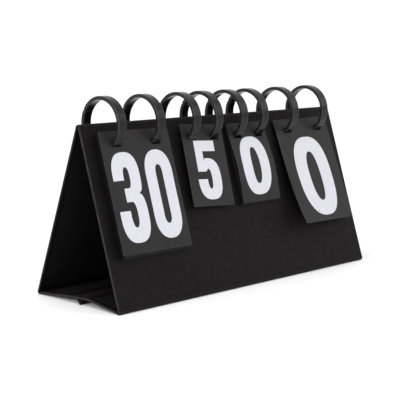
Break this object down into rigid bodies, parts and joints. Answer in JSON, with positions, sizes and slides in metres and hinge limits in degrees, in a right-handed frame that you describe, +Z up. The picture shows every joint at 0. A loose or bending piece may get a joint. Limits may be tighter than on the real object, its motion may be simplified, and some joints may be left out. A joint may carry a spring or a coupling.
{
  "type": "tabletop flip scoreboard",
  "caption": "Folding tabletop flip scoreboard: a leatherette-covered tent stand with numbered score and set cards hung on snap rings along its ridge.",
  "frame": {"origin": "middle of the footprint on the table, under the ridge", "axes": "+X along the ridge, to the right seen from the front; the front faces -Y; +Z up"},
  "size_m": [0.385, 0.1212, 0.2],
  "materials": {
    "leatherette": "fine-grained black leatherette, low sheen",
    "lining": "matt black lining",
    "greyboard": "bare grey board",
    "lip_tape": "hook and loop tape",
    "ring_plastic": "moulded dark grey, glossy",
    "card_plastic": "satin black sheet",
    "ink": "white screen print"
  },
  "bodies": {
    "front_panel": {"front_panel_cover": "leatherette", "front_panel_board": "greyboard", "front_panel_lining": "lining", "ridge_spine": "leatherette", "front_foot_fold": "leatherette", "left_score_pack": "card_plastic", "left_score_pack_print": "ink", "right_set_pack": "card_plastic", "right_set_pack_print": "ink"},
    "rear_panel": {"rear_panel_cover": "leatherette", "rear_panel_board": "greyboard", "rear_panel_lining": "lining", "rear_foot_fold": "leatherette", "left_set_back_pack": "card_plastic", "left_set_back_pack_print": "ink", "right_score_back_pack": "card_plastic", "right_score_back_pack_print": "ink"},
    "front_base": {"front_base_cover": "leatherette", "front_base_board": "greyboard", "front_base_lining": "lining", "front_base_edge": "leatherette"},
    "rear_base": {"rear_base_cover": "leatherette", "rear_base_board": "greyboard", "rear_base_lining": "lining", "rear_base_edge": "leatherette"},
    "base_lip": {"lip_hook_strip": "lip_tape", "lip_loop_strip": "lip_tape"},
    "ring_1": {"ring_1_body": "ring_plastic"},
    "gate_1": {"ring_1_gate": "ring_plastic"},
    "ring_2": {"ring_2_body": "ring_plastic"},
    "gate_2": {"ring_2_gate": "ring_plastic"},
    "ring_3": {"ring_3_body": "ring_plastic"},
    "gate_3": {"ring_3_gate": "ring_plastic"},
    "ring_4": {"ring_4_body": "ring_plastic"},
    "gate_4": {"ring_4_gate": "ring_plastic"},
    "ring_5": {"ring_5_body": "ring_plastic"},
    "gate_5": {"ring_5_gate": "ring_plastic"},
    "ring_6": {"ring_6_body": "ring_plastic"},
    "gate_6": {"ring_6_gate": "ring_plastic"},
    "ring_7": {"ring_7_body": "ring_plastic"},
    "gate_7": {"ring_7_gate": "ring_plastic"},
    "ring_8": {"ring_8_body": "ring_plastic"},
    "gate_8": {"ring_8_gate": "ring_plastic"},
    "left_score": {"left_score_card": "card_plastic", "left_score_print": "ink"},
    "left_set": {"left_set_card": "card_plastic", "left_set_print": "ink"},
    "right_set": {"right_set_card": "card_plastic", "right_set_print": "ink"},
    "right_score": {"right_score_card": "card_plastic", "right_score_print": "ink"},
    "left_set_back": {"left_set_back_card": "card_plastic", "left_set_back_print": "ink"},
    "right_score_back": {"right_score_back_card": "card_plastic", "right_score_back_print": "ink"}
  },
  "joints": [
    {"name": "ridge_fold", "type": "hinge", "parent": "front_panel", "child": "rear_panel", "pos_m": [0, 0, 0.1719], "axis": [1, 0, 0], "range_deg": [-30, 0], "deforming": ["front_base_edge", "rear_base_edge", "lip_hook_strip", "lip_loop_strip"]},
    {"name": "front_base_fold", "type": "hinge", "parent": "front_panel", "child": "front_base", "pos_m": [0, -0.05755, 0.0031], "axis": [1, 0, 0], "range_deg": [0, 62.58]},
    {"name": "rear_base_fold", "type": "hinge", "parent": "rear_panel", "child": "rear_base", "pos_m": [0, 0.05755, 0.0031], "axis": [1, 0, 0], "range_deg": [-62.58, 0]},
    {"name": "lip_fold", "type": "hinge", "parent": "rear_base", "child": "base_lip", "pos_m": [0, 0, 0.00548], "axis": [1, 0, 0], "range_deg": [0, 121.51]},
    {"name": "ring_1_turn", "type": "hinge", "parent": "front_panel", "child": "ring_1", "pos_m": [-0.1573, 0.0017, 0.1732], "axis": [1, 0, 0], "range_deg": [-289.03, 0]},
    {"name": "ring_1_open", "type": "hinge", "parent": "ring_1", "child": "gate_1", "pos_m": [-0.1573, 0.02536, 0.18578], "axis": [-1, 0, 0], "range_deg": [0, 60]},
    {"name": "ring_2_turn", "type": "hinge", "parent": "front_panel", "child": "ring_2", "pos_m": [-0.1047, 0.0017, 0.1732], "axis": [1, 0, 0], "range_deg": [-360, 0]},
    {"name": "ring_2_open", "type": "hinge", "parent": "ring_2", "child": "gate_2", "pos_m": [-0.1047, 0.02536, 0.18578], "axis": [-1, 0, 0], "range_deg": [0, 60]},
    {"name": "ring_3_turn", "type": "hinge", "parent": "front_panel", "child": "ring_3", "pos_m": [-0.053, 0.0017, 0.1732], "axis": [1, 0, 0], "range_deg": [-287.48, 0]},
    {"name": "ring_3_open", "type": "hinge", "parent": "ring_3", "child": "gate_3", "pos_m": [-0.053, 0.02536, 0.18578], "axis": [-1, 0, 0], "range_deg": [0, 60]},
    {"name": "ring_4_turn", "type": "hinge", "parent": "rear_panel", "child": "ring_4", "pos_m": [-0.0196, 0.0017, 0.1732], "axis": [-1, 0, 0], "range_deg": [-286.81, 0]},
    {"name": "ring_4_open", "type": "hinge", "parent": "ring_4", "child": "gate_4", "pos_m": [-0.0196, 0.02536, 0.18578], "axis": [-1, 0, 0], "range_deg": [0, 60]},
    {"name": "ring_5_turn", "type": "hinge", "parent": "front_panel", "child": "ring_5", "pos_m": [0.0196, 0.0017, 0.1732], "axis": [1, 0, 0], "range_deg": [-296.38, 0]},
    {"name": "ring_5_open", "type": "hinge", "parent": "ring_5", "child": "gate_5", "pos_m": [0.0196, 0.02536, 0.18578], "axis": [-1, 0, 0], "range_deg": [0, 60]},
    {"name": "ring_6_turn", "type": "hinge", "parent": "front_panel", "child": "ring_6", "pos_m": [0.053, 0.0017, 0.1732], "axis": [1, 0, 0], "range_deg": [-360, 0]},
    {"name": "ring_6_open", "type": "hinge", "parent": "ring_6", "child": "gate_6", "pos_m": [0.053, 0.02536, 0.18578], "axis": [-1, 0, 0], "range_deg": [0, 60]},
    {"name": "ring_7_turn", "type": "hinge", "parent": "front_panel", "child": "ring_7", "pos_m": [0.1047, 0.0017, 0.1732], "axis": [1, 0, 0], "range_deg": [-279.77, 0]},
    {"name": "ring_7_open", "type": "hinge", "parent": "ring_7", "child": "gate_7", "pos_m": [0.1047, 0.02536, 0.18578], "axis": [-1, 0, 0], "range_deg": [0, 60]},
    {"name": "ring_8_turn", "type": "hinge", "parent": "rear_panel", "child": "ring_8", "pos_m": [0.1573, 0.0017, 0.1732], "axis": [-1, 0, 0], "range_deg": [-274.6, 0]},
    {"name": "ring_8_open", "type": "hinge", "parent": "ring_8", "child": "gate_8", "pos_m": [0.1573, 0.02536, 0.18578], "axis": [-1, 0, 0], "range_deg": [0, 60]},
    {"name": "left_score_swing", "type": "hinge", "parent": "ring_1", "child": "left_score", "pos_m": [-0.1573, -0.01598, 0.15772], "axis": [1, 0, 0], "range_deg": [-33.37, 0]},
    {"name": "left_set_swing", "type": "hinge", "parent": "ring_3", "child": "left_set", "pos_m": [-0.053, -0.01533, 0.157], "axis": [1, 0, 0], "range_deg": [-34.92, 0]},
    {"name": "right_set_swing", "type": "hinge", "parent": "ring_5", "child": "right_set", "pos_m": [0.0196, -0.01386, 0.15559], "axis": [1, 0, 0], "range_deg": [-26.02, 0]},
    {"name": "right_score_swing", "type": "hinge", "parent": "ring_7", "child": "right_score", "pos_m": [0.1047, -0.01308, 0.15493], "axis": [1, 0, 0], "range_deg": [-38.73, 0]},
    {"name": "left_set_back_swing", "type": "hinge", "parent": "ring_4", "child": "left_set_back", "pos_m": [-0.0196, 0.01141, 0.1518], "axis": [-1, 0, 0], "range_deg": [-35.59, 0]},
    {"name": "right_score_back_swing", "type": "hinge", "parent": "ring_8", "child": "right_score_back", "pos_m": [0.1573, 0.01664, 0.15506], "axis": [-1, 0, 0], "range_deg": [-38.47, 0]}
  ],
  "couplings": [
    {"joint": "front_base_fold", "follows": "ridge_fold", "ratio": -2.0858},
    {"joint": "rear_base_fold", "follows": "ridge_fold", "ratio": 2.0858},
    {"joint": "lip_fold", "follows": "ridge_fold", "ratio": -4.05},
    {"joint": "left_score_swing", "follows": "ring_1_turn", "ratio": 0.11527},
    {"joint": "left_set_swing", "follows": "ring_3_turn", "ratio": 0.1213},
    {"joint": "right_set_swing", "follows": "ring_5_turn", "ratio": 0.087619},
    {"joint": "right_score_swing", "follows": "ring_7_turn", "ratio": 0.13825},
    {"joint": "left_set_back_swing", "follows": "ring_4_turn", "ratio": 0.12392},
    {"joint": "right_score_back_swing", "follows": "ring_8_turn", "ratio": 0.13994}
  ]
}
